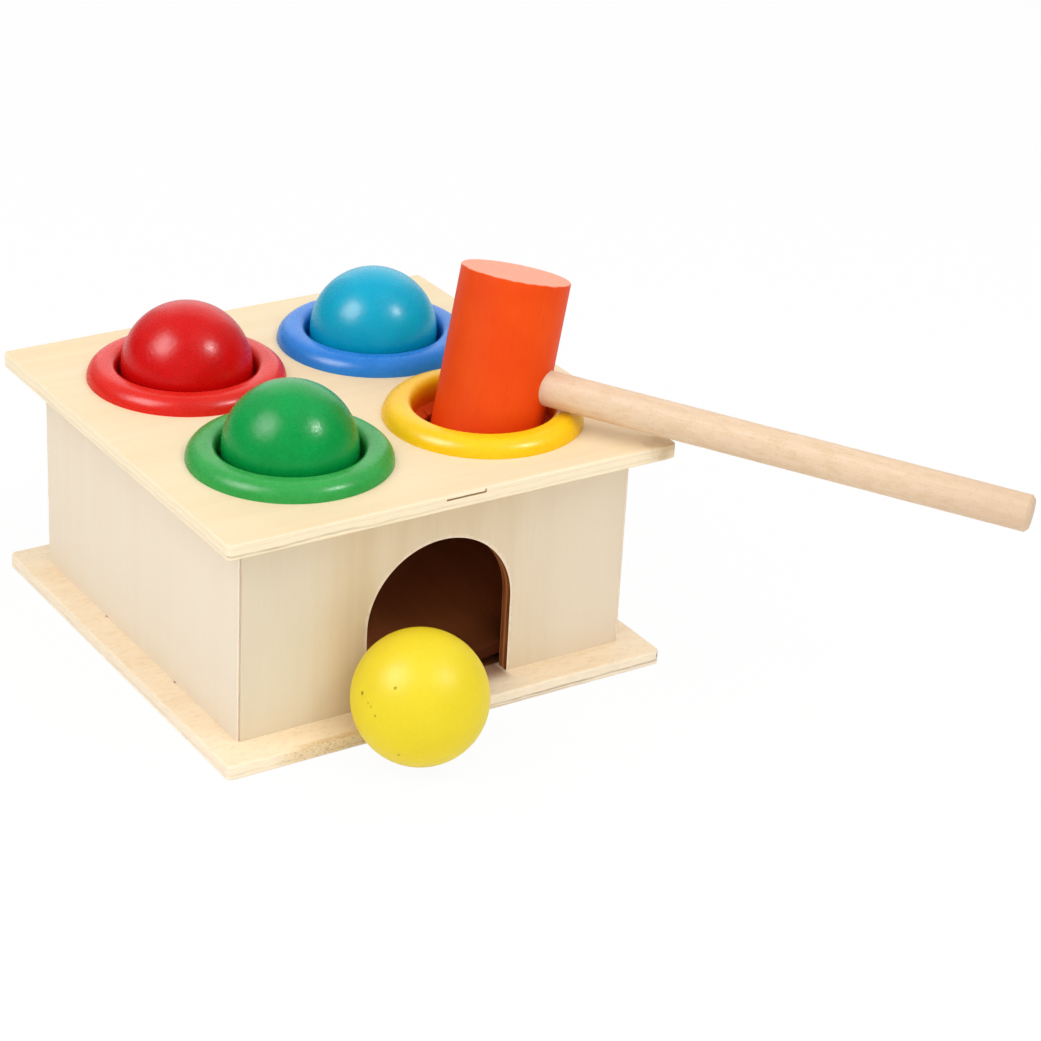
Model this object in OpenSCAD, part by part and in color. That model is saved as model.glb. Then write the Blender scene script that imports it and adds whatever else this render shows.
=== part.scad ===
// Ball pounding bench: a plywood box with four ringed holes, four balls and a hammer.
// Millimetres, +Z up, doorway on the -Y side, origin in the middle of the base's underside.

/* [Plates] */
// Distance that the top plate stands out past the left and right walls
top_ledge = 7.75; // [5:0.05:12]
// Distance that the base plate stands out past the left and right walls
base_ledge = 7.5; // [5:0.05:12]
// Distance that the base plate stands out past the front and back walls
base_front_ledge = 9.4; // [5:0.05:12]
// Thickness of the top plate
top_t = 4.2; // [3:0.1:5]
// Thickness of the base plate
base_t = 4; // [3:0.1:6]
// Radius of the top plate's corners, seen from above
top_corner_r = 1.4; // [1.3:0.1:8]
// Radius of the base plate's corners, seen from above
base_corner_r = 1.8; // [1.3:0.1:8]
// Radius of the round along the plates' edges
edge_r = 0.6; // [0.3:0.1:1.2]
// Length of the open joint between two plies of the top plate, at its front edge
core_gap_l = 11.3; // [4:0.1:20]
// Height of that open joint
core_gap_h = 0.5; // [0.3:0.1:0.6]
// Distance of that open joint below the top of the plate
core_gap_drop = 1; // [0.8:0.1:1.5]
// Depth of that open joint
core_gap_d = 1.5; // [0.5:0.1:3]
// Height that the crack at its right end rises over that open joint
core_crack_h = 0.6; // [0.2:0.1:0.7]
// Distance of that open joint's middle to the right of the plate's middle
core_gap_x = 1.2; // [-20:0.1:20]

/* [Box] */
// Extra room between the collars' hooks and the left and right walls
side_room = 1.4; // [0:0.1:5]
// Height of the walls between the two plates
panel_h = 54.7; // [52:0.1:65]
// Thickness of the walls
panel_t = 3.5; // [3:0.1:5]
// Width of the open line at the mitred corners
seam_w = 0.7; // [0.3:0.1:1.6]
// Length of the long tab under the side and back walls
tab_l = 38; // [20:1:50]
// Distance of the long tab from the middle of its wall
tab_shift = 1; // [-5:0.5:5]
// Length of the two short tabs under the front wall
front_tab_l = 16; // [8:1:18]
// Open length at each end of a tab in its slot
slot_end_gap = 0.5; // [0.2:0.1:1.5]
// Radius of the relief holes in the corners of the long slots
slot_relief_r = 0.5; // [0.3:0.1:0.8]
// Clearance at the sides and the end of a tab in its slot
tab_fit = 0.05; // [0.02:0.01:0.2]

/* [Doorway] */
// Gap between a ball in the doorway and each jamb
door_side_gap = 3.8; // [2:0.1:7]
// Gap between a ball on the base plate and the top of the doorway
door_top_gap = 8.2; // [5:0.1:11]
// Distance of the doorway's middle to the right of the box's middle
door_x = 0.7; // [-3:0.1:3]

/* [Ramp] */
// Thickness of the two gutter boards
ramp_t = 3; // [2:0.1:4]
// Slope of each board towards the middle, in degrees
ramp_side_angle = 8; // [4:0.5:9]
// Slope of the gutter towards the doorway, in degrees
ramp_fall_angle = 5; // [3:0.5:6]
// Height of the gutter's lowest line over the base plate
ramp_lift = 0.4; // [0.2:0.1:2]
// Gap between the boards' edges and the walls
ramp_gap = 0.3; // [0.1:0.1:0.6]
// Width of the strips under the boards
strip_w = 8; // [5:0.5:12]
// Distance of the middle strip from the front wall
spine_start = 24; // [12:1:40]

/* [Collars] */
// Width of a collar's rim, from its mouth to its outer edge
rim_w = 7.5; // [7.2:0.1:9]
// Height of the rim, and radius of its outer round
rim_r = 4.2; // [3.6:0.1:4.8]
// Radius of the rim's inner edge
rim_in_r = 2; // [1:0.1:2.2]
// Gap between the rims of neighbouring collars
rim_gap = 4.1; // [1:0.1:8]
// Radial gap between a ball and the collar's mouth
mouth_gap = 1.2; // [0.5:0.1:1.6]
// Thickness of the wall of the collar's neck, in the plate's hole
neck_t = 2.3; // [2.2:0.1:3.5]
// Radial clearance of the neck in the hole
neck_fit = 0.1; // [0.05:0.05:0.3]
// Length of the neck below the top plate
neck_drop = 3.4; // [3:0.1:4]
// Number of snap hooks under a collar
hook_count = 6; // [4:1:8]
// Angle that one hook takes round the neck
hook_angle = 24; // [15:1:30]
// Distance that a hook reaches out under the plate
hook_reach = 0.9; // [0.5:0.1:1.5]
// Gap between the hooks and the front and back walls
hook_wall_gap = 1.4; // [0.3:0.05:4]
// Height of a hook
hook_h = 2.2; // [1.5:0.1:2.8]
// Width of the relief slots at the ends of the hooks
relief_w = 1; // [0.6:0.1:2]

/* [Grips] */
// Depth of the grip's groove in the neck
groove_d = 0.9; // [0.5:0.1:1.2]
// Height of the grip ring in its groove
grip_h = 2.8; // [2:0.1:3]
// Distance of the groove below the top of the plate
grip_drop = 2; // [1.5:0.1:2.5]
// Clearance of the grip in its groove
grip_fit = 0.05; // [0.02:0.01:0.1]
// Distance that the lip reaches inside the ball's outline
lip_bite = 1.2; // [0.8:0.1:1.6]
// Thickness of the lip
lip_t = 1.1; // [0.8:0.1:1.4]
// Number of slits that part the lip into petals
slit_count = 12; // [6:1:16]
// Width of a slit
slit_w = 0.5; // [0.4:0.1:1.2]

/* [Balls] */
// Diameter of a ball
ball_d = 33.8; // [30:0.1:38]
// Height of a seated ball's middle over the top of the plate
seat_rise = 3; // [2.2:0.1:3.4]
// Gap between a ball at rest and what it touches
ball_gap = 0.2; // [0.1:0.05:0.5]
// Sideways place of the ball in front of the doorway
loose_ball_x = -16.9; // [-30:0.1:30]

/* [Hammer] */
// Radial room of the hammer's head in the lip, for its lean
head_room = 1.7; // [1.7:0.1:4]
// Length of the hammer's head
head_l = 53; // [46:0.5:56]
// Width of the bevel round the head's ends
head_bevel = 0.3; // [0.2:0.1:2]
// Diameter of the handle
handle_d = 9.2; // [8:0.1:12]
// Distance from the head's axis to the handle's free end
handle_reach = 138.5; // [110:0.5:160]
// Distance that the handle's hole runs past the head's axis
handle_seat = 7; // [3:0.5:10]
// Radial clearance of the glued handle in its hole
handle_fit = 0.05; // [0.02:0.01:0.1]
// Width of the bevel at the handle's ends
handle_bevel = 0.8; // [0.3:0.1:1.5]
// Direction of the handle, in degrees from +X
handle_azimuth = -53.8; // [-60:0.1:-30]
// Fall of the handle towards its free end, in degrees
handle_droop = 3.4; // [2:0.1:6]
// Lean of the head about the handle, in degrees
head_lean = 14.7; // [5:0.1:17]
// Shift of the leaning head to the right in the collar
head_shift_x = 0.5; // [0:0.1:0.6]
// Shift of the leaning head to the front in the collar
head_shift_y = 0.7; // [0:0.1:0.8]
// Gap between the handle and the rim below it
handle_gap = 0.3; // [0.1:0.1:1]

/* [Hidden] */
$fn = 96;

// A cut runs this far past the faces that it opens
over = 1;
// Larger than the whole object, for half spaces
far = 400;

ply = "#f2dfbd";
inner_ply = "#c9a676";
beech = "#ecd0a8";
red = "#cc1f26";
blue = "#2b68c8";
green = "#1f9a50";
yellow = "#f6cb1f";
orange = "#ee5a1c";
sky = "#1e9cc4";
lemon = "#efdf3a";

wall_top_z = base_t + panel_h;
plate_top_z = wall_top_z + top_t;

// From the ball to the collar, from the collars to the box, and from the box to the plates
ball_r = ball_d / 2;
mouth_r = ball_r + mouth_gap;
rim_out_r = mouth_r + rim_w;
rim_line_r = rim_out_r - rim_r;
neck_r = mouth_r + neck_t;
hole_r = neck_r + neck_fit;
hole_pitch = 2 * rim_out_r + rim_gap;
inner_d = hole_pitch + 2 * (neck_r + hook_reach + hook_wall_gap);
inner_w = inner_d + 2 * side_room;
box_d = inner_d + 2 * panel_t;
box_w = inner_w + 2 * panel_t;
top_w = box_w + 2 * top_ledge;
base_w = box_w + 2 * base_ledge;
base_d = box_d + 2 * base_front_ledge;

door_w = ball_d + 2 * door_side_gap;
door_h = ball_d + door_top_gap;

// Places of the four holes, seen from above: back left, back right, front left, front right
red_at = [-hole_pitch / 2, hole_pitch / 2];
blue_at = [hole_pitch / 2, hole_pitch / 2];
green_at = [-hole_pitch / 2, -hole_pitch / 2];
yellow_at = [hole_pitch / 2, -hole_pitch / 2];

// The lip meets the ball on this circle, measured from the top of the plate
lip_r = ball_r - lip_bite;
head_d = 2 * (lip_r - head_room);
lip_z = seat_rise - sqrt((ball_r + ball_gap) ^ 2 - lip_r ^ 2);

// A front tab sits in the middle between the doorway and the mitred corner
front_left_tab_x = (door_x - door_w / 2 - inner_w / 2) / 2;
front_right_tab_x = (door_x + door_w / 2 + inner_w / 2) / 2;

// The ball on the floor lies against the base plate's upper front edge
loose_ball_reach = sqrt((ball_r + ball_gap) ^ 2 - (ball_r - base_t) ^ 2);
loose_ball_at = [loose_ball_x, -base_d / 2 - loose_ball_reach, ball_r];

// The head leans in the yellow lip, and the handle lies over the rim
head_axis = [
    sin(handle_azimuth) * -sin(head_lean) + cos(handle_azimuth) * sin(handle_droop) * cos(head_lean),
    cos(handle_azimuth) * sin(head_lean) + sin(handle_azimuth) * sin(handle_droop) * cos(head_lean),
    cos(handle_droop) * cos(head_lean)
];
rim_top_z = plate_top_z + rim_r;
handle_z = rim_top_z + handle_gap + handle_d / 2 / cos(handle_droop) + rim_line_r * tan(handle_droop);
stand = (handle_z - plate_top_z - lip_z) / head_axis.z;
head_at_lip = [yellow_at.x + head_shift_x, yellow_at.y - head_shift_y, plate_top_z + lip_z];
hammer_at = head_at_lip + stand * head_axis;

// Section of a plate's edge: a corner radius wide, with its outer corners rounded
module edge_section(r, t) {
    square([r - edge_r, t]);
    translate([0, edge_r])
        square([r, t - 2 * edge_r]);
    for (z = [edge_r, t - edge_r])
        translate([r - edge_r, z])
            circle(r = edge_r);
}

// Plate with rounded corners and edges, standing on z = 0
module rounded_plate(w, d, r, t) {
    flat_w = w - 2 * r;
    flat_d = d - 2 * r;
    translate([-flat_w / 2, -flat_d / 2, 0])
        cube([flat_w, flat_d, t]);
    for (turn = [0, 180])
        rotate(turn) {
            plate_edge(flat_w, flat_d, r, t);
            rotate(90)
                plate_edge(flat_d, flat_w, r, t);
        }
}

// Edge of a plate along +X, with the corner at its end
module plate_edge(flat_w, flat_d, r, t) {
    translate([flat_w / 2, -flat_d / 2, 0])
        rotate([90, 0, 180])
            mirror([1, 0, 0])
                linear_extrude(flat_d)
                    edge_section(r, t);
    translate([flat_w / 2, flat_d / 2, 0])
        rotate_extrude(angle = 90)
            edge_section(r, t);
}

// Plan of a wall with mitred ends, its outer face on y = 0 and its inner face towards +Y
module mitred_plan(length, open_seam) {
    s = open_seam;
    polygon([
        [-length / 2 + s, 0], [length / 2 - s, 0], [length / 2 - s, s],
        [length / 2 - panel_t, panel_t], [-length / 2 + panel_t, panel_t], [-length / 2 + s, s]
    ]);
}

// Tab under a wall, centred at x along the wall
module tab(x, length) {
    translate([x - length / 2, tab_fit, tab_fit])
        cube([length, panel_t - 2 * tab_fit, base_t]);
}

// Slot for a tab, through the base plate
module slot(x, length) {
    translate([x - length / 2 - slot_end_gap, 0, -over])
        cube([length + 2 * slot_end_gap, panel_t, base_t + 2 * over]);
}

// Slot for a long tab, with a relief hole in each corner that shows as a dot at the wall's foot
module long_slot() {
    slot(tab_shift, tab_l);
    for (end = [-1, 1], y = [0, panel_t])
        translate([tab_shift + end * (tab_l / 2 + slot_end_gap), y, -over])
            cylinder(r = slot_relief_r, h = base_t + 2 * over, $fn = 24);
}

// Places a wall's own frame on one side of the box
module on_front() {
    translate([0, -box_d / 2, 0]) children();
}

module on_back() {
    rotate(180) translate([0, -box_d / 2, 0]) children();
}

module on_left() {
    rotate(-90) translate([0, -box_w / 2, 0]) children();
}

module on_right() {
    rotate(90) translate([0, -box_w / 2, 0]) children();
}

// Wall of a given length, with its one middle tab
module plain_wall(length, open_seam) {
    translate([0, 0, base_t])
        linear_extrude(panel_h)
            mitred_plan(length, open_seam);
    tab(tab_shift, tab_l);
}

// Outline of the doorway, seen from the front, standing on y = 0
module arch() {
    translate([-door_w / 2, 0])
        square([door_w, door_h - door_w / 2]);
    translate([0, door_h - door_w / 2])
        circle(d = door_w);
}

module base_plate() {
    color(ply)
        difference() {
            rounded_plate(base_w, base_d, base_corner_r, base_t);
            on_front() {
                slot(front_left_tab_x, front_tab_l);
                slot(front_right_tab_x, front_tab_l);
            }
            on_back() long_slot();
            on_left() long_slot();
            on_right() long_slot();
        }
}

module top_plate() {
    color(ply)
        translate([0, 0, wall_top_z])
            difference() {
                rounded_plate(top_w, top_w, top_corner_r, top_t);
                for (at = [red_at, blue_at, green_at, yellow_at])
                    translate([at.x, at.y, -over])
                        cylinder(r = hole_r, h = top_t + 2 * over);
                core_gap();
            }
}

// Open joint between two plies of the top plate: a thin slot in the front edge, cracked upwards at one end
module core_gap() {
    translate([core_gap_x, -top_w / 2 - over, top_t - core_gap_drop]) {
        translate([-core_gap_l / 2, 0, -core_gap_h])
            cube([core_gap_l, core_gap_d + over, core_gap_h]);
        translate([core_gap_l / 2 - core_gap_h, 0, -core_gap_h / 2])
            cube([core_gap_h, core_gap_d / 2 + over, core_gap_h / 2 + core_crack_h]);
    }
}

module front_panel() {
    color(ply)
        on_front() {
            difference() {
                translate([0, 0, base_t])
                    linear_extrude(panel_h)
                        mitred_plan(box_w, seam_w);
                translate([door_x, panel_t + over, base_t])
                    rotate([90, 0, 0])
                        linear_extrude(panel_t + 2 * over)
                            arch();
                translate([door_x - door_w / 2, -over, base_t - over])
                    cube([door_w, panel_t + 2 * over, 2 * over]);
            }
            tab(front_left_tab_x, front_tab_l);
            tab(front_right_tab_x, front_tab_l);
        }
}

module back_panel() {
    color(ply) on_back() plain_wall(box_w, seam_w);
}

module left_panel() {
    color(ply) on_left() plain_wall(box_d, 0);
}

module right_panel() {
    color(ply) on_right() plain_wall(box_d, 0);
}

// Frame of one gutter board: its underside on z = 0, side is -1 on the left and 1 on the right
module board_frame(side) {
    translate([0, -inner_d / 2, base_t + ramp_lift])
        rotate([ramp_fall_angle, -side * ramp_side_angle, 0])
            children();
}

// All the space below a gutter board
module under_board(side) {
    board_frame(side)
        translate([-far, -far, -2 * far])
            cube([2 * far, 2 * far, 2 * far]);
}

module gutter_board(side) {
    reach = inner_w / 2 - ramp_gap;
    intersection() {
        board_frame(side)
            translate([-far, -far, 0])
                cube([2 * far, 2 * far, ramp_t]);
        translate([side > 0 ? ramp_gap / 2 : -reach, -inner_d / 2 + ramp_gap, base_t])
            cube([reach - ramp_gap / 2, inner_d - 2 * ramp_gap, panel_h]);
    }
}

// Strip along a side wall under the outer edge of a board
module cleat(side) {
    intersection() {
        under_board(side);
        translate([side > 0 ? inner_w / 2 - strip_w : -inner_w / 2, -inner_d / 2, base_t])
            cube([strip_w, inner_d, panel_h]);
    }
}

module left_ramp() {
    color(inner_ply) gutter_board(-1);
}

module right_ramp() {
    color(inner_ply) gutter_board(1);
}

module ramp_spine() {
    color(inner_ply)
        intersection() {
            under_board(-1);
            under_board(1);
            translate([-strip_w / 2, -inner_d / 2 + spine_start, base_t])
                cube([strip_w, inner_d - spine_start, panel_h]);
        }
}

module left_cleat() {
    color(inner_ply) cleat(-1);
}

module right_cleat() {
    color(inner_ply) cleat(1);
}

// Half section of a collar's ring: rounded rim on the plate, and the neck with the grip's groove
module collar_section() {
    intersection() {
        translate([rim_line_r, 0])
            circle(r = rim_r);
        translate([rim_line_r, 0])
            square([rim_r + over, rim_r + over]);
    }
    translate([mouth_r + rim_in_r, 0])
        square([rim_line_r - mouth_r - rim_in_r, rim_r]);
    translate([mouth_r, 0])
        square([rim_in_r, rim_r - rim_in_r]);
    intersection() {
        translate([mouth_r + rim_in_r, rim_r - rim_in_r])
            circle(r = rim_in_r);
        translate([mouth_r, rim_r - rim_in_r])
            square([rim_in_r, rim_in_r]);
    }
    difference() {
        translate([mouth_r, -top_t - neck_drop])
            square([neck_r - mouth_r, top_t + neck_drop]);
        translate([mouth_r - over, -grip_drop - grip_h])
            square([groove_d + over, grip_h]);
    }
}

// Half section of a snap hook, hanging below the plate
module hook_section() {
    polygon([
        [neck_r - hook_reach / 2, -top_t - neck_fit], [neck_r + hook_reach, -top_t - neck_fit],
        [neck_r + hook_reach, -top_t - neck_fit - hook_h / 3], [neck_r, -top_t - neck_fit - hook_h],
        [neck_r - hook_reach / 2, -top_t - neck_fit - hook_h]
    ]);
}

// Collar in its own frame, z = 0 on the plate
module collar() {
    hook_turn = 360 / hook_count;
    difference() {
        union() {
            rotate_extrude()
                collar_section();
            for (i = [0:hook_count - 1])
                rotate(i * hook_turn - hook_angle / 2)
                    rotate_extrude(angle = hook_angle)
                        hook_section();
        }
        for (i = [0:hook_count - 1], turn = [-hook_angle / 2, hook_angle / 2])
            rotate(i * hook_turn + turn)
                translate([mouth_r - over, -relief_w / 2, -top_t - neck_drop - over])
                    cube([neck_r - mouth_r + hook_reach + 2 * over, relief_w, neck_drop + over - neck_fit]);
    }
}

// Half section of a grip: a band in the groove and a lip that slopes in to the ball
module grip_section() {
    band_r = mouth_r + groove_d - grip_fit;
    band_top = -grip_drop - grip_fit;
    band_low = -grip_drop - grip_h + grip_fit;
    polygon([
        [band_r, band_top], [mouth_r - groove_d / 2, band_top], [lip_r, lip_z],
        [lip_r, lip_z - lip_t], [mouth_r - groove_d / 2, band_low], [band_r, band_low]
    ]);
}

// Grip in the frame of its collar, with its lip parted into petals
module grip() {
    slit_end_r = mouth_r - groove_d;
    difference() {
        rotate_extrude()
            grip_section();
        for (i = [0:slit_count - 1])
            rotate(i * 360 / slit_count)
                translate([0, -slit_w / 2, -top_t - neck_drop])
                    cube([slit_end_r, slit_w, top_t + neck_drop]);
    }
}

// Places something on the top plate at one hole
module at_hole(at) {
    translate([at.x, at.y, plate_top_z]) children();
}

module red_collar() {
    color(red) at_hole(red_at) collar();
}

module blue_collar() {
    color(blue) at_hole(blue_at) collar();
}

module green_collar() {
    color(green) at_hole(green_at) collar();
}

module yellow_collar() {
    color(yellow) at_hole(yellow_at) collar();
}

module red_grip() {
    color(red) at_hole(red_at) grip();
}

module blue_grip() {
    color(blue) at_hole(blue_at) grip();
}

module green_grip() {
    color(green) at_hole(green_at) grip();
}

module yellow_grip() {
    color(yellow) at_hole(yellow_at) grip();
}

// Ball seated in a collar
module seated_ball(at) {
    at_hole(at)
        translate([0, 0, seat_rise])
            sphere(d = ball_d);
}

module red_ball() {
    color(red) seated_ball(red_at);
}

module blue_ball() {
    color(sky) seated_ball(blue_at);
}

module green_ball() {
    color(green) seated_ball(green_at);
}

module yellow_ball() {
    color(lemon)
        translate(loose_ball_at)
            sphere(d = ball_d);
}

// Frame of the hammer: origin where the axes cross, handle along +X, head along Z
module hammer_frame() {
    translate(hammer_at)
        rotate([0, 0, handle_azimuth])
            rotate([0, handle_droop, 0])
                rotate([-head_lean, 0, 0])
                    children();
}

// Turned bar along Z from low to high, with bevelled ends
module bevelled_bar(d, low, high, bevel) {
    r = d / 2;
    rotate_extrude()
        polygon([
            [0, low], [r - bevel, low], [r, low + bevel],
            [r, high - bevel], [r - bevel, high], [0, high]
        ]);
}

module hammer_head() {
    color(orange)
        hammer_frame()
            difference() {
                bevelled_bar(head_d, -head_l / 2, head_l / 2, head_bevel);
                translate([-handle_seat, 0, 0])
                    rotate([0, 90, 0])
                        cylinder(d = handle_d + 2 * handle_fit, h = handle_seat + head_d);
            }
}

module hammer_handle() {
    color(beech)
        hammer_frame()
            rotate([0, 90, 0])
                bevelled_bar(handle_d, -handle_seat, handle_reach, handle_bevel);
}

base_plate();
top_plate();
front_panel();
back_panel();
left_panel();
right_panel();
left_ramp();
right_ramp();
ramp_spine();
left_cleat();
right_cleat();
red_collar();
blue_collar();
green_collar();
yellow_collar();
red_grip();
blue_grip();
green_grip();
yellow_grip();
red_ball();
blue_ball();
green_ball();
yellow_ball();
hammer_head();
hammer_handle();
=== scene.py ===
"""Looks of a ball pounding bench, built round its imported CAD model."""
import math

import bpy
from mathutils import Matrix, Vector


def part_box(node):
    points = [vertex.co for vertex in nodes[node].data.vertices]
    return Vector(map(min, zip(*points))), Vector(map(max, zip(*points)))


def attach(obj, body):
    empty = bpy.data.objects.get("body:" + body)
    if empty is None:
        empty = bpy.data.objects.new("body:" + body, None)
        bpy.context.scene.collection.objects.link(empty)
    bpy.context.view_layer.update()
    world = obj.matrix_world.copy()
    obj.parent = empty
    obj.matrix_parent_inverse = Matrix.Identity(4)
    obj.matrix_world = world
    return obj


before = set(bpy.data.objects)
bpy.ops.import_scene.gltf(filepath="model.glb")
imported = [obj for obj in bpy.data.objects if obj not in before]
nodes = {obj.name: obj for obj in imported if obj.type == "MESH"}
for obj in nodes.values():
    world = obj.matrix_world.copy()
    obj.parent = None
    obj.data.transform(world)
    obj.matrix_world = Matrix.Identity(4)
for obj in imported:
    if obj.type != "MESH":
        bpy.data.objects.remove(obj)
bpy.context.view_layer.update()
scene = bpy.context.scene
scene.view_settings.view_transform = "Standard"

MM = 0.001
ALONG_X, ALONG_Y, ALONG_Z = range(3)
EVEN = (1, 1, 1)

# Sockets of a Mix node for numbers and for colours: factor, first, second and result
MIX_NUMBERS = (0, 2, 3, 0)
MIX_COLOURS = (0, 6, 7, 2)


def box_mm(name):
    """Lowest and highest corner of a CAD node, in millimetres."""
    low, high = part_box(name)
    return Vector(low) / MM, Vector(high) / MM


def srgb(r, g, b):
    """Linear colour of an sRGB colour in 0 to 255."""
    def linear(c):
        c /= 255
        return c / 12.92 if c <= 0.04045 else ((c + 0.055) / 1.055) ** 2.4
    return (linear(r), linear(g), linear(b), 1.0)


def direction(azimuth, elevation):
    """Unit vector to an azimuth, 0 in front of the doorway, and an elevation, both in degrees."""
    a, e = math.radians(azimuth), math.radians(elevation)
    return Vector((math.sin(a) * math.cos(e), -math.cos(a) * math.cos(e), math.sin(e)))


class Nodes:
    """One node tree, with short calls for its nodes."""

    def __init__(self, tree):
        self.tree = tree

    def node(self, kind, **settings):
        n = self.tree.nodes.new("ShaderNode" + kind)
        for key, value in settings.items():
            setattr(n, key, value)
        return n

    def feed(self, socket, value):
        """Links a socket to another one, or sets it to a constant."""
        if isinstance(value, bpy.types.NodeSocket):
            self.tree.links.new(value, socket)
        else:
            socket.default_value = value

    def fill(self, node, **values):
        """Feeds a node's sockets by their names, with _ for a space."""
        for key, value in values.items():
            self.feed(node.inputs[key.replace("_", " ")], value)

    def math(self, operation, a, b=0.0):
        n = self.node("Math", operation=operation)
        self.feed(n.inputs[0], a)
        self.feed(n.inputs[1], b)
        return n.outputs[0]

    def plus(self, a, b):
        return self.math("ADD", a, b)

    def minus(self, a, b):
        return self.math("SUBTRACT", a, b)

    def times(self, a, b):
        return self.math("MULTIPLY", a, b)

    def most(self, a, b):
        return self.math("MAXIMUM", a, b)

    def size(self, value):
        return self.math("ABSOLUTE", value)

    def less(self, mask):
        """1 where a mask is 0."""
        return self.minus(1.0, mask)

    def both(self, *masks):
        """Product of several masks."""
        total = masks[0]
        for mask in masks[1:]:
            total = self.times(total, mask)
        return total

    def vector(self, operation, a, b, result="Vector"):
        n = self.node("VectorMath", operation=operation)
        self.feed(n.inputs[0], a)
        self.feed(n.inputs[1], b)
        return n.outputs[result]

    def dot(self, a, b):
        return self.vector("DOT_PRODUCT", a, tuple(b), "Value")

    def distance(self, a, b):
        return self.vector("DISTANCE", a, tuple(b), "Value")

    def split(self, vector):
        n = self.node("SeparateXYZ")
        self.feed(n.inputs[0], vector)
        return n.outputs[0], n.outputs[1], n.outputs[2]

    def join(self, x, y, z):
        n = self.node("CombineXYZ")
        for socket, value in zip(n.inputs, (x, y, z)):
            self.feed(socket, value)
        return n.outputs[0]

    def step(self, value, zero, one):
        """Smooth step from 0 at zero to 1 at one."""
        n = self.node("MapRange", interpolation_type="SMOOTHSTEP")
        self.fill(n, Value=value, From_Min=zero, From_Max=one)
        return n.outputs[0]

    def band(self, value, low, high, soft):
        """1 where value lies between low and high, falling to 0 over soft outside them."""
        return self.both(self.step(value, low - soft, low), self.step(value, high + soft, high))

    def remap(self, value, low, high, to_low, to_high):
        n = self.node("MapRange")
        self.fill(n, Value=value, From_Min=low, From_Max=high, To_Min=to_low, To_Max=to_high)
        return n.outputs[0]

    def blend(self, kind, sockets, factor, a, b):
        n = self.node("Mix", data_type=kind)
        for index, value in zip(sockets, (factor, a, b)):
            self.feed(n.inputs[index], value)
        return n.outputs[sockets[-1]]

    def pick(self, factor, a, b):
        """Number a where the factor is 0, number b where it is 1."""
        return self.blend("FLOAT", MIX_NUMBERS, factor, a, b)

    def mix(self, factor, a, b):
        """Colour a where the factor is 0, colour b where it is 1."""
        return self.blend("RGBA", MIX_COLOURS, factor, a, b)


class Shader(Nodes):
    """One procedural material. Lengths are in millimetres of the row frame."""

    def __init__(self, name):
        self.material = bpy.data.materials.new(name)
        self.material.use_nodes = True
        super().__init__(self.material.node_tree)
        self.bsdf = next(n for n in self.tree.nodes if n.type == "BSDF_PRINCIPLED")
        coord = self.node("TexCoord")
        self.at = self.vector("MULTIPLY", coord.outputs["Object"], (1 / MM, 1 / MM, 1 / MM))
        self.x, self.y, self.z = self.split(self.at)
        self.nx, self.ny, self.nz = self.split(coord.outputs["Normal"])

    def set(self, **sockets):
        self.fill(self.bsdf, **sockets)

    def tint(self, colour, mask, amount, towards):
        """Colour turned towards another one by amount where the mask is 1."""
        return self.mix(self.times(mask, amount), colour, towards)

    def spot(self, centre, radius, soft):
        """1 within radius of a place, falling to 0 over soft outside it."""
        return self.step(self.distance(self.at, centre), radius + soft, radius)

    def stretched(self, at, stretch):
        return at if stretch == EVEN else self.vector("MULTIPLY", at, stretch)

    def noise(self, at, stretch=EVEN, scale=1.0, detail=3.0, rough=0.5, distortion=0.0):
        n = self.node("TexNoise")
        self.fill(n, Vector=self.stretched(at, stretch), Scale=scale, Detail=detail)
        self.fill(n, Roughness=rough, Distortion=distortion)
        return n.outputs["Fac"]

    def cells(self, at, stretch):
        """Distance to the nearest point of a scatter, and that point's own random number."""
        n = self.node("TexVoronoi")
        self.fill(n, Vector=self.stretched(at, stretch), Scale=1.0)
        return n.outputs["Distance"], self.split(n.outputs["Color"])[0]

    def bump(self, height, depth_mm, strength, below=None):
        n = self.node("Bump")
        self.fill(n, Height=height, Distance=depth_mm * MM, Strength=strength)
        if below is not None:
            self.fill(n, Normal=below)
        return n.outputs[0]


def dress(shader, *names):
    for name in names:
        nodes[name].data.materials.clear()
        nodes[name].data.materials.append(shader.material)


# Plywood: sizes of its marks along and across the grain, then depths of its relief
BAND_SIZE, FIBRE_SIZE, CLOUD_SIZE, PORE_SIZE = (90, 7), (14, 0.5), (60, 32), (3.4, 0.42)
GRAIN_DEPTH, EDGE_DEPTH = 0.05, 0.12
WOOD_SHINE, RAW_SHINE = 0.2, 0.05
RAW_ROUGHNESS = 0.95


def veneer(s, along, light, dark, cloud):
    """Face of a rotary-cut veneer: broad pale bands, fine fibres and short pores along one axis."""
    def stretch(length, width):
        return tuple(1 / length if i == along else 1 / width for i in range(3))
    bands = s.noise(s.at, stretch(*BAND_SIZE), detail=3, rough=0.55, distortion=0.4)
    fibres = s.noise(s.at, stretch(*FIBRE_SIZE), detail=4, rough=0.62)
    clouds = s.noise(s.at, stretch(*CLOUD_SIZE), detail=2, rough=0.5)
    colour = s.mix(s.remap(bands, 0.3, 0.7, 0, 1), light, dark)
    colour = s.mix(s.remap(clouds, 0.35, 0.7, 0, 0.55), colour, cloud)
    colour = s.mix(s.remap(fibres, 0.42, 0.75, 0, 0.30), colour, dark)
    pore_distance, pore_random = s.cells(s.at, stretch(*PORE_SIZE))
    pores = s.both(s.step(pore_distance, 0.26, 0.10), s.math("GREATER_THAN", pore_random, 0.66))
    return colour, fibres, pores


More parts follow.
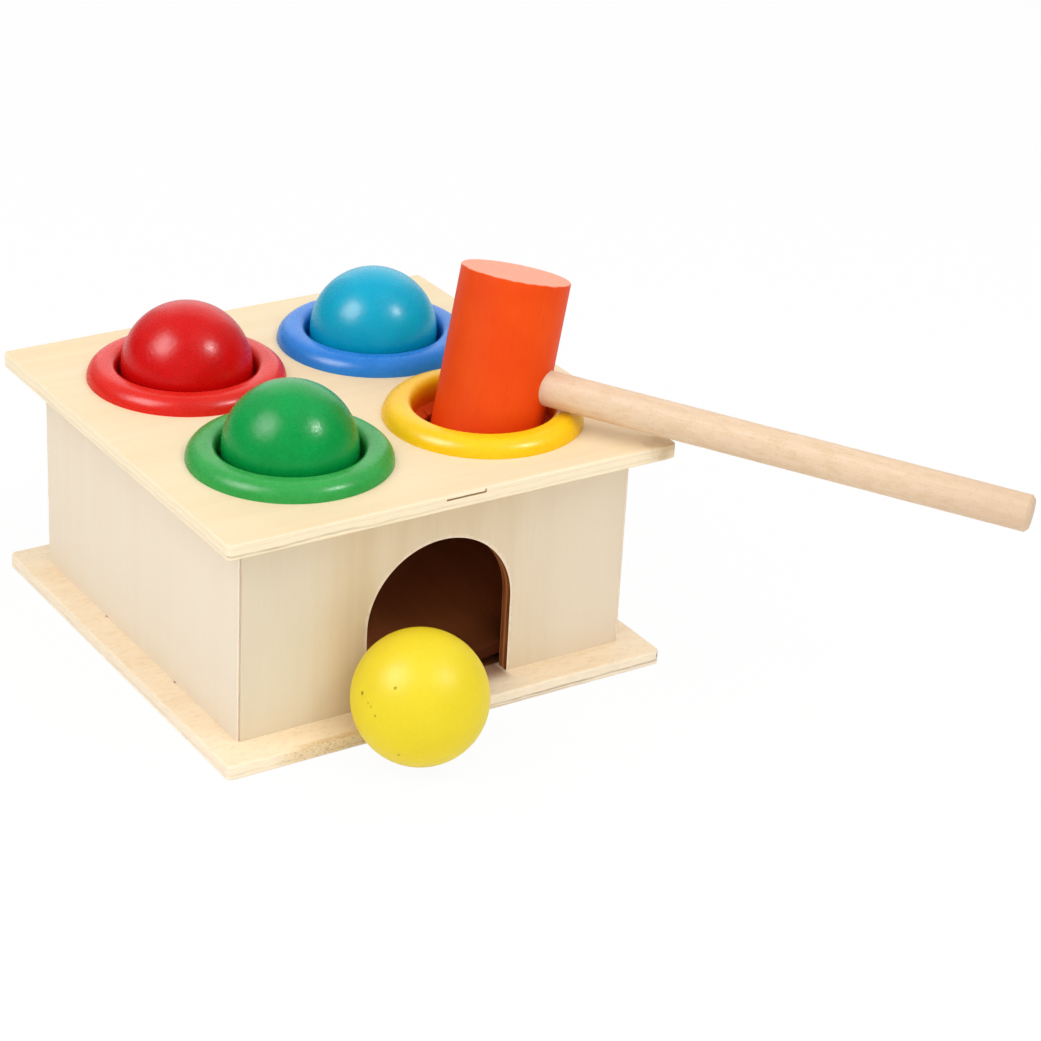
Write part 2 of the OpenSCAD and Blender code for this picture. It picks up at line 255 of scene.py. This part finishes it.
def finish_wood(s, colour, fibres, pores, edge, edge_height, shine=WOOD_SHINE, raw=None):
    """Sets the sockets of a plywood material: faces by their fibres, edges by their own rough height.

    Raw is a mask of unsanded places, which are duller.
    """
    face_bump = s.bump(s.minus(fibres, s.times(pores, 0.6)), GRAIN_DEPTH, 0.35)
    edge_bump = s.bump(s.both(edge_height, edge), EDGE_DEPTH, 0.6, face_bump)
    roughness = s.remap(fibres, 0.3, 0.7, 0.50, 0.64)
    if raw is not None:
        roughness = s.most(roughness, s.times(raw, RAW_ROUGHNESS))
    s.set(Base_Color=colour, Roughness=roughness, Specular_IOR_Level=shine, Normal=edge_bump)


def height_in(s, bottom, stretch, waver):
    """Height over a plate's underside, made to wander by up to waver."""
    wobble = s.noise(s.at, stretch, detail=2)
    return s.plus(s.minus(s.z, bottom), s.remap(wobble, 0.2, 0.8, -waver, waver))


top_low, top_high = box_mm("top_plate")
base_low, base_high = box_mm("base_plate")
left_low, _ = box_mm("left_panel")
front_low, front_high = box_mm("front_panel")
PANEL_T = front_high.y - front_low.y
OUTER_X, OUTER_Y = -left_low.x, -front_low.y
INNER_X, INNER_Y = OUTER_X - PANEL_T, OUTER_Y - PANEL_T
DOOR_X, DOOR_R, DOOR_TOP = 0.7, 20.7, 46.0

# Marks on the top plate: heights of its glue lines, half length of the joint in its front edge, its corner
# stain with the handle's painted shadow
TOP_GLUE, TOP_GLUE_HIGH = (1.08, 1.30), (2.85, 3.0)
GLUE_FADES_AT = 4.0
JOINT_HALF = 8.0
STAIN_AND_SHADOW_AT, STAIN_AND_SHADOW_REACH = (60.5, -61, 63), 7.8


def top_ply(name):
    """Top plate: pale veneer and edges, one open glue line along the front, and at one corner a stain
    darkened further as the painted shadow of the handle.
    """
    s = Shader(name)
    face, fibres, pores = veneer(s, ALONG_X, srgb(241, 221, 184), srgb(234, 210, 168), srgb(243, 225, 193))
    face = s.tint(face, pores, 0.16, srgb(204, 162, 108))
    level = height_in(s, top_low.z, (0.09, 0.09, 0.02), 0.35)
    grain = s.noise(s.at, (0.35, 0.35, 3.4), detail=4, rough=0.6)
    edge_colour = s.mix(s.remap(grain, 0.35, 0.7, 0, 0.5), srgb(252, 236, 205), srgb(240, 219, 182))
    front = s.step(s.ny, -0.3, -0.6)
    along_front = s.remap(s.x, top_low.x, GLUE_FADES_AT, 0.56, 0.10)
    patchy = s.remap(s.noise(s.at, (0.12, 0.12, 0.3), detail=2), 0.35, 0.65, 0.5, 1.0)
    glue = s.both(s.band(level, *TOP_GLUE, 0.32), patchy)
    edge_colour = s.tint(edge_colour, s.both(glue, front), along_front, srgb(136, 104, 70))
    edge_colour = s.tint(edge_colour, s.both(glue, s.less(front)), 0.16, srgb(150, 120, 84))
    edge_colour = s.tint(edge_colour, s.band(level, *TOP_GLUE_HIGH, 0.2), 0.10, srgb(170, 136, 96))
    edge = s.step(s.size(s.nz), 0.85, 0.45)
    colour = s.mix(edge, face, edge_colour)
    in_joint = s.both(
        s.band(s.y, top_low.y + 0.2, top_low.y + 1.8, 0.15),
        s.band(s.z, top_high.z - 1.7, top_high.z - 0.4, 0.1),
        s.step(s.size(s.x), JOINT_HALF, JOINT_HALF - 0.5))
    colour = s.tint(colour, in_joint, 0.9, srgb(216, 188, 148))
    # Corner patch: partly a real stain, partly the handle's shadow painted onto the plate
    blotch = s.noise(s.at, scale=0.3, detail=2, rough=0.5)
    reach = s.plus(s.distance(s.at, STAIN_AND_SHADOW_AT), s.remap(blotch, 0.3, 0.7, -1.6, 1.6))
    colour = s.tint(colour, s.step(reach, STAIN_AND_SHADOW_REACH, 0.5), 0.60, srgb(180, 146, 90))
    finish_wood(s, colour, fibres, pores, edge, s.minus(grain, s.times(glue, 0.8)))
    return s


# Marks on the base plate: heights of its glue lines, and where along x its front edge is marked
BASE_GLUE, BASE_GLUE_LOW = (1.25, 1.45), (0.62, 0.74)
OPEN_FROM, OPEN_FULL = -6.0, 14.0
LOW_LINE_X, TORN_X, CHIP_X = (8.0, 30.0), (-43.0, -22.0), (-40.0, -20.0)
BURN_AT = (base_high.x - 0.5, base_low.y + 0.7, 2.6)


def base_ply(name):
    """Base plate: paler veneer, and a dark glue line, a torn core and a chipped edge along its front.

    One corner is burnt. The floor inside the box and the sill under the doorway are tinted red-brown as
    painted shade.
    """
    s = Shader(name)
    face, fibres, pores = veneer(s, ALONG_X, srgb(250, 232, 203), srgb(243, 220, 185), srgb(252, 236, 211))
    face = s.tint(face, pores, 0.26, srgb(206, 168, 120))
    flecks = s.noise(s.at, (0.45, 0.9, 0.9), detail=4, rough=0.7)
    face = s.tint(face, s.step(flecks, 0.48, 0.66), 0.45, srgb(230, 203, 168))
    level = height_in(s, base_low.z, (0.08, 0.08, 0.02), 0.3)
    grain = s.noise(s.at, (0.3, 0.3, 3.2), detail=4, rough=0.62)
    flakes = s.noise(s.at, (1.3, 1.3, 3.0), detail=4, rough=0.7)
    edge_colour = s.mix(s.remap(grain, 0.35, 0.7, 0, 0.7), srgb(255, 241, 218), srgb(240, 217, 184))
    front = s.step(s.ny, -0.3, -0.6)
    open_part = s.both(front, s.step(s.x, OPEN_FROM, OPEN_FULL))
    patchy = s.remap(s.noise(s.at, (0.1, 0.1, 0.4), detail=3), 0.38, 0.62, 0.35, 1.0)
    line = s.both(s.band(level, *BASE_GLUE, 0.3), patchy)
    edge_colour = s.tint(edge_colour, s.both(line, open_part), 0.48, srgb(116, 88, 70))
    edge_colour = s.tint(edge_colour, s.both(line, s.less(open_part)), 0.18, srgb(130, 100, 74))
    low_line = s.both(s.band(level, *BASE_GLUE_LOW, 0.15), front, s.band(s.x, *LOW_LINE_X, 14.0))
    edge_colour = s.tint(edge_colour, low_line, 0.38, srgb(110, 80, 58))
    torn = s.both(front, s.band(s.x, *TORN_X, 9.0), s.step(level, 0.3, 0.9))
    edge_colour = s.tint(edge_colour, torn, s.remap(grain, 0.3, 0.6, 0.85, 0.25), srgb(228, 197, 136))
    specks = s.both(torn, s.step(flakes, 0.52, 0.68))
    edge_colour = s.tint(edge_colour, specks, 0.75, srgb(136, 98, 50))
    edge = s.step(s.size(s.nz), 0.85, 0.45)
    colour = s.mix(edge, face, edge_colour)
    from_front = s.plus(s.minus(s.y, base_low.y), s.remap(flakes, 0.3, 0.7, -1.1, 1.1))
    chip = s.both(s.step(from_front, 1.9, 0.9), s.band(s.x, *CHIP_X, 7.0), s.step(s.nz, 0.3, 0.6))
    colour = s.tint(colour, chip, s.remap(flakes, 0.4, 0.62, 0.25, 0.75), srgb(206, 168, 104))
    above = s.step(s.z, base_high.z - 0.6, base_high.z - 0.3)
    # Painted shade on the sill under the doorway and just in front of it
    doorway_sill_shade = s.both(
        above, s.step(s.y, -5.0 - OUTER_Y, 1.5 - OUTER_Y), s.step(s.y, 0.0, -1.0),
        s.step(s.size(s.minus(s.x, DOOR_X)), DOOR_R + 0.5, DOOR_R - 1.5))
    colour = s.tint(colour, doorway_sill_shade, 0.8, srgb(140, 84, 50))
    # Painted shade: the floor inside the box tinted dark red-brown
    inside_floor_shade = s.both(
        above, s.step(s.size(s.y), INNER_Y - 0.4, INNER_Y - 1.4), s.step(s.size(s.x), INNER_X, INNER_X - 1.0))
    colour = s.tint(colour, inside_floor_shade, 0.95, srgb(126, 62, 28))
    colour = s.tint(colour, s.spot(BURN_AT, 0.5, 0.7), 0.9, srgb(46, 42, 32))
    height = s.minus(s.plus(grain, s.both(flakes, torn)), line)
    finish_wood(s, colour, fibres, pores, edge, height)
    return s


dress(top_ply("top_ply"), "top_plate")
dress(base_ply("base_ply"), "base_plate")

# Where the front wall turns greyer towards the left and paler towards the right, from none to full
COOL_X, PALER_X = (-26.0, -40.0), (18.0, 40.0)


def wall_ply(name, light, dark, cloud):
    """Walls: plain upright veneer outside, red-brown inside as painted shade, a scorched doorway, mitres and
    ends painted pale to lift the shade in their notches, and painted highlights along the doorway and the
    left corner.
    """
    s = Shader(name)
    face, fibres, pores = veneer(s, ALONG_Z, light, dark, cloud)
    face = s.tint(face, pores, 0.12, srgb(186, 148, 108))
    front = s.step(s.ny, -0.5, -0.8)
    rise = s.most(s.minus(s.z, DOOR_TOP - DOOR_R), 0.0)
    sideways = s.minus(s.x, DOOR_X)
    from_centre = s.math("SQRT", s.plus(s.times(rise, rise), s.times(sideways, sideways)))
    ragged = s.remap(s.noise(s.at, scale=0.7, detail=3, rough=0.65), 0.3, 0.7, -0.45, 0.45)
    from_door = s.plus(s.minus(from_centre, DOOR_R), ragged)
    # Painted highlight: a pale band along the doorway's edge on the front face
    doorway_edge_highlight = s.both(s.band(from_door, -0.4, 0.40, 0.35), front)
    face = s.tint(face, doorway_edge_highlight, 0.55, srgb(250, 234, 216))
    # Painted highlight: a thin pale strip on the left panel's face by its front corner
    left_corner_highlight = s.both(s.step(s.nx, -0.5, -0.8), s.step(s.y, 0.9 - OUTER_Y, 0.4 - OUTER_Y))
    face = s.tint(face, left_corner_highlight, 0.6, srgb(252, 240, 218))
    face = s.tint(face, s.both(s.step(s.x, *COOL_X), front), 0.5, srgb(230, 222, 203))
    face = s.tint(face, s.both(s.step(s.x, *PALER_X), front), 0.6, srgb(238, 224, 204))
    # Painted light: mitre and end faces in the corner notches are made pale to lift the shade in them
    mitre = s.step(s.size(s.times(s.nx, s.ny)), 0.2, 0.4)
    face = s.tint(face, mitre, 0.9, srgb(246, 232, 214))
    end = s.both(s.step(s.size(s.nx), 0.5, 0.8), s.band(s.size(s.x), OUTER_X - 2.0, OUTER_X - 0.5, 0.2))
    face = s.tint(face, end, 0.9, srgb(246, 232, 214))
    jamb = s.both(
        s.step(s.size(s.ny), 0.6, 0.3), s.step(s.size(s.x), 40, 38),
        s.step(s.z, DOOR_TOP + 1.2, DOOR_TOP + 0.8))
    into = s.plus(s.y, OUTER_Y)
    streak = s.noise(s.at, (0.5, 2.2, 0.12), detail=3)
    scorch = s.mix(s.remap(streak, 0.35, 0.65, 0, 1), srgb(188, 110, 56), srgb(146, 80, 38))
    scorch = s.tint(scorch, s.band(into, 1.5, 1.9, 0.35), 0.7, srgb(222, 150, 98))
    scorch = s.tint(scorch, s.step(into, 1.0, 0.2), 0.7, srgb(104, 54, 24))
    colour = s.mix(jamb, face, scorch)
    # Painted shade: faces inside the box take a red-brown tone
    past_inner = s.most(s.minus(s.size(s.x), INNER_X), s.minus(s.size(s.y), INNER_Y))
    inside = s.step(past_inner, 0.15, 0.05)
    inside_shade_tone = s.mix(s.remap(fibres, 0.35, 0.7, 0, 1), srgb(246, 196, 150), srgb(232, 172, 122))
    colour = s.mix(inside, colour, inside_shade_tone)
    finish_wood(s, colour, fibres, pores, jamb, streak, raw=s.most(inside, jamb))
    return s


# One wood in two copies: the front's darker, yellower tones are painted shade, the sides' paler tones painted
# light
front_ply_shaded = wall_ply("wall_ply_front", srgb(233, 215, 186), srgb(223, 202, 168), srgb(235, 218, 192))
side_ply_lit = wall_ply("wall_ply_side", srgb(238, 224, 203), srgb(236, 220, 197), srgb(239, 226, 207))
dress(front_ply_shaded, "front_panel", "back_panel")
dress(side_ply_lit, "left_panel", "right_panel")


def inner_ply(name):
    """Boards of the gutter: raw plywood tinted red-brown as painted shade inside the box, with more painted
    shade towards the right and by the doorway, and darker sawn ends.
    """
    s = Shader(name)
    # Red-brown veneer tones as painted shade inside the closed box
    face, fibres, pores = veneer(s, ALONG_Y, srgb(196, 116, 66), srgb(166, 90, 48), srgb(202, 124, 74))
    # Painted shade, darker towards the right
    face = s.tint(face, s.step(s.x, -16.0, 12.0), 0.6, srgb(122, 62, 30))
    # Painted shade, darker still by the doorway's right
    door_side_shade = s.both(s.step(s.x, -10.0, 4.0), s.step(s.y, 16.0 - INNER_Y, 1.0 - INNER_Y))
    face = s.tint(face, door_side_shade, 0.75, srgb(70, 30, 11))
    ends = s.step(s.size(s.ny), 0.5, 0.8)
    face = s.tint(face, ends, 0.95, srgb(72, 32, 12))
    finish_wood(s, face, fibres, pores, ends, fibres, RAW_SHINE)
    return s


gutter = inner_ply("inner_ply")
dress(gutter, "left_ramp", "right_ramp", "ramp_spine", "left_cleat", "right_cleat")

# Glue bead that fills the valley between the two boards of the gutter, whose angles and sizes are the CAD's
FALL_ANGLE, SIDE_ANGLE = math.radians(5), math.radians(8)
BOARD_T, BOARD_LIFT = 3.0, 0.4
BEAD_HALF, BEAD_END, BEAD_CLEAR = 0.9, 1.0, 0.02


def bead_section(y):
    """Three corners of the bead at y: its two upper edges over the boards and its foot in the valley."""
    valley = base_high.z + BOARD_LIFT + (y + INNER_Y) * math.tan(FALL_ANGLE)
    valley += BOARD_T / math.cos(FALL_ANGLE) / math.cos(SIDE_ANGLE) + BEAD_CLEAR
    edge = valley + BEAD_HALF * math.tan(SIDE_ANGLE) + BEAD_CLEAR
    return [Vector((x, y, z)) * MM for x, z in ((-BEAD_HALF, edge), (BEAD_HALF, edge), (0, valley))]


bead_mesh = bpy.data.meshes.new("glue_bead")
bead_mesh.from_pydata(
    bead_section(BEAD_END - INNER_Y) + bead_section(INNER_Y - BEAD_END), [],
    [(0, 2, 1), (3, 4, 5), (0, 1, 4, 3), (1, 2, 5, 4), (2, 0, 3, 5)])
bead = bpy.data.objects.new("glue_bead", bead_mesh)
scene.collection.objects.link(bead)
bead_mesh.materials.append(gutter.material)
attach(bead, "bench")

# Paint and plastic
PAINT_SHINE, MOULDING_SHINE, STAIN_SHINE = 0.18, 0.19, 0.1
PIT_COLOUR, PIT_DEPTH = srgb(110, 96, 20), 0.3


def gloss(name, colour, deep, roughness, peel_mm, grain_mm, shine=PAINT_SHINE, marks=(), mouth=None):
    """Coloured coat with a soft mottle and a fine orange peel that breaks up its highlights.

    Marks are small pits. A mouth is a painted reflection of the orange head, a colour that the coat takes on
    down in a collar, and the collar.
    """
    s = Shader(name)
    mottle = s.noise(s.at, scale=0.10, detail=3, rough=0.55)
    peel = s.noise(s.at, scale=0.8, detail=2, rough=0.5)
    grit = s.noise(s.at, scale=2.1, detail=2, rough=0.6)
    patches = s.plus(s.times(mottle, 0.6), s.times(peel, 0.4))
    tone = s.mix(s.remap(patches, 0.36, 0.64, 0, 1), colour, deep)
    height = s.plus(s.times(peel, peel_mm), s.times(grit, grain_mm))
    if mouth:
        reflected_colour, collar = mouth
        low, high = box_mm(collar)
        middle = ((low.x + high.x) / 2, (low.y + high.y) / 2, 0.0)
        from_middle = s.distance(s.join(s.x, s.y, 0.0), middle)
        rim = (high.x - low.x) / 2
        sunk = s.step(s.z, top_high.z + 2.6, top_high.z - 1.0)
        # Painted reflection: the coat turns orange down in the collar's hole, where the orange head reflects
        tone = s.tint(tone, s.both(sunk, s.step(from_middle, rim - 4.5, rim - 6.0)), 0.85, reflected_colour)
    for place, radius, amount in marks:
        pit = s.spot(place, radius, radius)
        tone = s.tint(tone, pit, amount, PIT_COLOUR)
        height = s.minus(height, s.times(pit, PIT_DEPTH))
    s.set(Base_Color=tone, Roughness=s.remap(grit, 0.3, 0.7, roughness - 0.05, roughness + 0.07))
    s.set(Specular_IOR_Level=shine, Normal=s.bump(height, 1.0, 1.0))
    return s


def moulding(name, colour, deep, mouth=None):
    return gloss(name, colour, deep, 0.28, 0.02, 0.008, MOULDING_SHINE, mouth=mouth)


def paint(name, colour, deep, roughness=0.27, peel_mm=0.05, grain_mm=0.005, marks=()):
    return gloss(name, colour, deep, roughness, peel_mm, grain_mm, marks=marks)


# Orange that paints the head's reflection down in the yellow collar
yellow_head_reflection = (srgb(228, 92, 8), "yellow_collar")
dress(moulding("red_moulding", srgb(224, 38, 25), srgb(215, 29, 19)), "red_collar")
dress(moulding("blue_moulding", srgb(45, 132, 219), srgb(36, 119, 207)), "blue_collar")
dress(moulding("green_moulding", srgb(54, 164, 76), srgb(44, 152, 66)), "green_collar")
dress(moulding("yellow_moulding", srgb(250, 203, 22), srgb(247, 194, 14), yellow_head_reflection), "yellow_collar")
dress(paint("red_paint", srgb(211, 7, 7), srgb(199, 4, 5)), "red_ball")
dress(paint("sky_paint", srgb(0, 169, 202), srgb(0, 159, 194)), "blue_ball")
dress(paint("green_paint", srgb(2, 155, 70), srgb(1, 143, 62)), "green_ball")

# Pits of the loose ball: place from its middle, radius and strength
PITS = (
    ((-11.8, -7.6, 9.4), 0.22, 0.45), ((-16.1, 0.3, 5.2), 0.30, 0.6), ((-16.0, -3.9, 3.6), 0.14, 0.25),
    ((-15.8, -5.6, 1.9), 0.18, 0.3), ((-16.2, -2.7, 4.1), 0.12, 0.2), ((-11.4, -9.7, -7.8), 0.22, 0.3),
)
ball_low, ball_high = box_mm("yellow_ball")
ball_at = (ball_low + ball_high) / 2
pits = [(ball_at + Vector(place), radius, amount) for place, radius, amount in PITS]
lemon = paint("lemon_paint", srgb(235, 212, 40), srgb(232, 208, 37), 0.42, 0.045, 0.006, pits)
dress(lemon, "yellow_ball")


def rubber(name, colour, deep):
    """Moulded elastic of a grip, matt and a little darker than its collar."""
    s = Shader(name)
    grain = s.noise(s.at, scale=1.6, detail=3)
    s.set(Base_Color=s.mix(grain, colour, deep), Roughness=0.65, Specular_IOR_Level=WOOD_SHINE)
    s.set(Normal=s.bump(grain, 0.04, 0.4))
    return s


dress(rubber("red_elastic", srgb(208, 32, 25), srgb(186, 24, 19)), "red_grip")
dress(rubber("blue_elastic", srgb(36, 102, 190), srgb(28, 86, 168)), "blue_grip")
dress(rubber("green_elastic", srgb(44, 148, 70), srgb(36, 128, 60)), "green_grip")
# The yellow grip is orange rather than yellow, as the orange head's painted reflection down in the hole
dress(rubber("yellow_elastic", srgb(238, 92, 12), srgb(220, 78, 10)), "yellow_grip")

# Hammer: the frame of its head and handle, as in the CAD
HANDLE_AZIMUTH, HANDLE_DROOP, HEAD_LEAN = -53.8, 3.4, 14.7
HEAD_HALF = 26.5
# Where the handle darkens towards its tip, as painted shade
TIP_SHADE_FROM, TIP_SHADE_FULL = 96.0, 137.0
turn = Matrix.Rotation(math.radians(HANDLE_AZIMUTH), 3, "Z")
turn = turn @ Matrix.Rotation(math.radians(HANDLE_DROOP), 3, "Y")
turn = turn @ Matrix.Rotation(math.radians(-HEAD_LEAN), 3, "X")
head_low, head_high = box_mm("hammer_head")
hammer_at = (head_low + head_high) / 2


def hammer_frame(s):
    """The place along the handle, across it and up the head, from the head's middle."""
    from_middle = s.vector("SUBTRACT", s.at, tuple(hammer_at))
    return [s.dot(from_middle, axis) for axis in turn.transposed()]


def painted_head(name):
    """Orange stain on turned wood: faint grain along the head, end grain with rings painted paler and pinker
    as the light and sheen on the upturned end, rubbed edges.
    """
    s = Shader(name)
    along, across, up = hammer_frame(s)
    local = s.join(along, across, up)
    grain = s.noise(local, (1.3, 1.3, 0.09), detail=4, rough=0.6)
    mottle = s.noise(local, scale=0.09, detail=3)
    tone = s.mix(s.remap(mottle, 0.3, 0.7, 0, 1), srgb(238, 80, 8), srgb(232, 70, 4))
    tone = s.mix(s.remap(grain, 0.45, 0.75, 0, 0.30), tone, srgb(222, 60, 8))
    from_heart = s.distance(s.join(along, across, 0.0), (9.0, 14.0, 0.0))
    wander = s.times(s.noise(local, scale=0.12, detail=3, rough=0.6), 7.0)
    rings = s.math("SINE", s.plus(s.times(from_heart, 2.4), wander))
    # End grain: real rings, on a tone painted paler and pinker as light and sheen
    end = s.mix(s.remap(rings, -1, 1, 0.30, 0.60), srgb(247, 170, 140), srgb(243, 150, 117))
    rub = s.noise(local, scale=0.35, detail=3, rough=0.6)
    from_end = s.minus(HEAD_HALF, s.size(up))
    edge = s.plus(from_end, s.remap(rub, 0.3, 0.7, -0.12, 0.12))
    tone = s.mix(s.step(edge, 0.30, 0.05), tone, end)
    s.set(Base_Color=tone, Roughness=s.remap(grain, 0.3, 0.7, 0.42, 0.54), Specular_IOR_Level=STAIN_SHINE)
    s.set(Normal=s.bump(grain, GRAIN_DEPTH, 0.4))
    return s


def beech(name):
    """Turned beech: faint growth rings, a brown mottle, and the short dark rays that mark this wood."""
    s = Shader(name)
    along, across, up = hammer_frame(s)
    local = s.join(along, across, up)
    wander = s.noise(local, (0.015, 0.12, 0.12), detail=2)
    from_heart = s.plus(s.times(s.plus(across, 21.0), 0.9), s.times(up, 0.43))
    rings = s.math("SINE", s.plus(s.times(from_heart, 2.6), s.times(wander, 9.0)))
    fibres = s.noise(local, (0.14, 2.2, 2.2), detail=4, rough=0.65)
    mottle = s.noise(local, (0.22, 0.5, 0.5), detail=4, rough=0.7)
    colour = s.mix(s.remap(rings, -1, 1, 0, 0.4), srgb(229, 203, 174), srgb(221, 189, 154))
    colour = s.mix(s.remap(fibres, 0.42, 0.72, 0, 0.34), colour, srgb(212, 176, 140))
    colour = s.tint(colour, s.step(mottle, 0.44, 0.64), 0.40, srgb(214, 179, 138))
    ray_distance, ray_random = s.cells(local, (0.75, 2.4, 2.4))
    rays = s.both(s.step(ray_distance, 0.30, 0.12), s.math("GREATER_THAN", ray_random, 0.5))
    colour = s.tint(colour, rays, 0.32, srgb(178, 130, 92))
    # Painted shade: darker towards the handle's tip
    colour = s.tint(colour, s.step(along, TIP_SHADE_FROM, TIP_SHADE_FULL), 0.38, srgb(208, 176, 148))
    s.set(Base_Color=colour, Roughness=s.remap(fibres, 0.3, 0.7, 0.48, 0.62), Specular_IOR_Level=WOOD_SHINE)
    s.set(Normal=s.bump(s.minus(fibres, s.times(rays, 0.5)), GRAIN_DEPTH, 0.4))
    return s


dress(painted_head("orange_paint"), "hammer_head")
dress(beech("beech"), "hammer_handle")

# Floor: white where it is seen directly, in a gloss or through glass, and it keeps the object's shadow
FLOOR_HALF = 6.0
FLOOR_GLOW = 0.95
FLOOR_COLOUR = (0.90, 0.90, 0.89, 1)
floor_mesh = bpy.data.meshes.new("floor")
floor_corners = [(x * FLOOR_HALF, y * FLOOR_HALF, 0) for x, y in ((-1, -1), (1, -1), (1, 1), (-1, 1))]
floor_mesh.from_pydata(floor_corners, [], [(0, 1, 2, 3)])
floor = bpy.data.objects.new("floor", floor_mesh)
scene.collection.objects.link(floor)
floor_material = bpy.data.materials.new("floor_paper")
floor_material.use_nodes = True
paper = Nodes(floor_material.node_tree)
paper.tree.nodes.clear()
ray = paper.node("LightPath").outputs
seen = paper.most(paper.most(ray["Is Camera Ray"], ray["Is Glossy Ray"]), ray["Is Transmission Ray"])
diffuse = paper.node("BsdfDiffuse")
paper.fill(diffuse, Color=FLOOR_COLOUR)
surface = paper.node("MixShader")
paper.feed(surface.inputs[0], paper.times(seen, FLOOR_GLOW))
paper.feed(surface.inputs[1], diffuse.outputs[0])
paper.feed(surface.inputs[2], paper.node("Emission").outputs[0])
paper.fill(paper.node("OutputMaterial"), Surface=surface.outputs[0])
floor_mesh.materials.append(floor_material)

# World: white where it is seen. A gloss shows a white backdrop behind and overhead, and a dim room in front
WORLD_FILL, BACKDROP_FILL = 0.44, 0.68
ROOM_GLOSS, BACKDROP_GLOSS = 0.08, 1.0
BACKDROP_AZIMUTH, BACKDROP_ELEVATION = 146, 50
BACKDROP_EDGE, BACKDROP_FULL = 0.35, 0.95
world = bpy.data.worlds.new("studio")
scene.world = world
world.use_nodes = True
sky = Nodes(world.node_tree)
facing = sky.dot(sky.node("TexCoord").outputs["Generated"], direction(BACKDROP_AZIMUTH, BACKDROP_ELEVATION))
backdrop = sky.step(facing, BACKDROP_EDGE, BACKDROP_FULL)
as_light = sky.remap(backdrop, 0, 1, WORLD_FILL, BACKDROP_FILL)
as_gloss = sky.remap(backdrop, 0, 1, ROOM_GLOSS, BACKDROP_GLOSS)
ray = sky.node("LightPath").outputs
direct = sky.most(ray["Is Camera Ray"], ray["Is Transmission Ray"])
strength = sky.pick(direct, sky.pick(ray["Is Glossy Ray"], as_light, as_gloss), 1.0)
sky.fill(sky.tree.nodes["Background"], Color=(1, 1, 1, 1), Strength=strength)

# Lamps: name, azimuth, elevation, distance and size in metres, watts, and whether only a gloss shows it
LAMPS = (
    ("left_box", -92, 46, 1.2, 0.90, 5.6, False),
    ("right_box", 25, 60, 1.2, 0.90, 6.0, False),
    ("front_fill", -28, 14, 1.3, 1.2, 4.2, False),
    ("left_card", -92, 46, 1.2, 0.60, 28.0, True),
    ("right_card", 32, 45, 1.2, 0.24, 10.9, True),
    ("back_card", 146, 30, 1.4, 1.4, 6.0, True),
)
LAMP_AIM = Vector((0, 0, 0.05))


def lamp(name, azimuth, elevation, distance, size, power, in_gloss):
    """Square soft box that looks at the middle of the bench: plain light, or only its image in a gloss."""
    away = direction(azimuth, elevation)
    light = bpy.data.lights.new(name, "AREA")
    light.shape = "SQUARE"
    light.size = size
    light.energy = power
    box = bpy.data.objects.new(name, light)
    box.location = LAMP_AIM + away * distance
    box.rotation_euler = away.to_track_quat("Z", "Y").to_euler()
    box.visible_glossy = in_gloss
    box.visible_diffuse = not in_gloss
    box.visible_camera = False
    scene.collection.objects.link(box)


for settings in LAMPS:
    lamp(*settings)

# Camera at the photograph's place
PHOTO_PX, FOCAL_PX = 1041, 2959.19
SENSOR_MM = 36
NEAREST = 0.01
AZIMUTH, ELEVATION, ROLL = -34.05, 26.25, 3.19
TARGET = Vector((30.18, -43.56, 40.0)) * MM
DISTANCE = 747.51 * MM
back = direction(AZIMUTH, ELEVATION)
right = (-back).cross(Vector((0, 0, 1))).normalized()
above = right.cross(-back)
roll = math.radians(ROLL)
right_rolled = right * math.cos(roll) + above * math.sin(roll)
above_rolled = above * math.cos(roll) - right * math.sin(roll)
turned = Matrix((right_rolled, above_rolled, back)).transposed().to_4x4()
camera_data = bpy.data.cameras.new("camera")
camera_data.sensor_width = SENSOR_MM
camera_data.sensor_fit = "HORIZONTAL"
camera_data.lens = FOCAL_PX / PHOTO_PX * SENSOR_MM
camera_data.clip_start = NEAREST
camera = bpy.data.objects.new("camera", camera_data)
camera.matrix_world = Matrix.Translation(TARGET + back * DISTANCE) @ turned
scene.collection.objects.link(camera)
scene.camera = camera
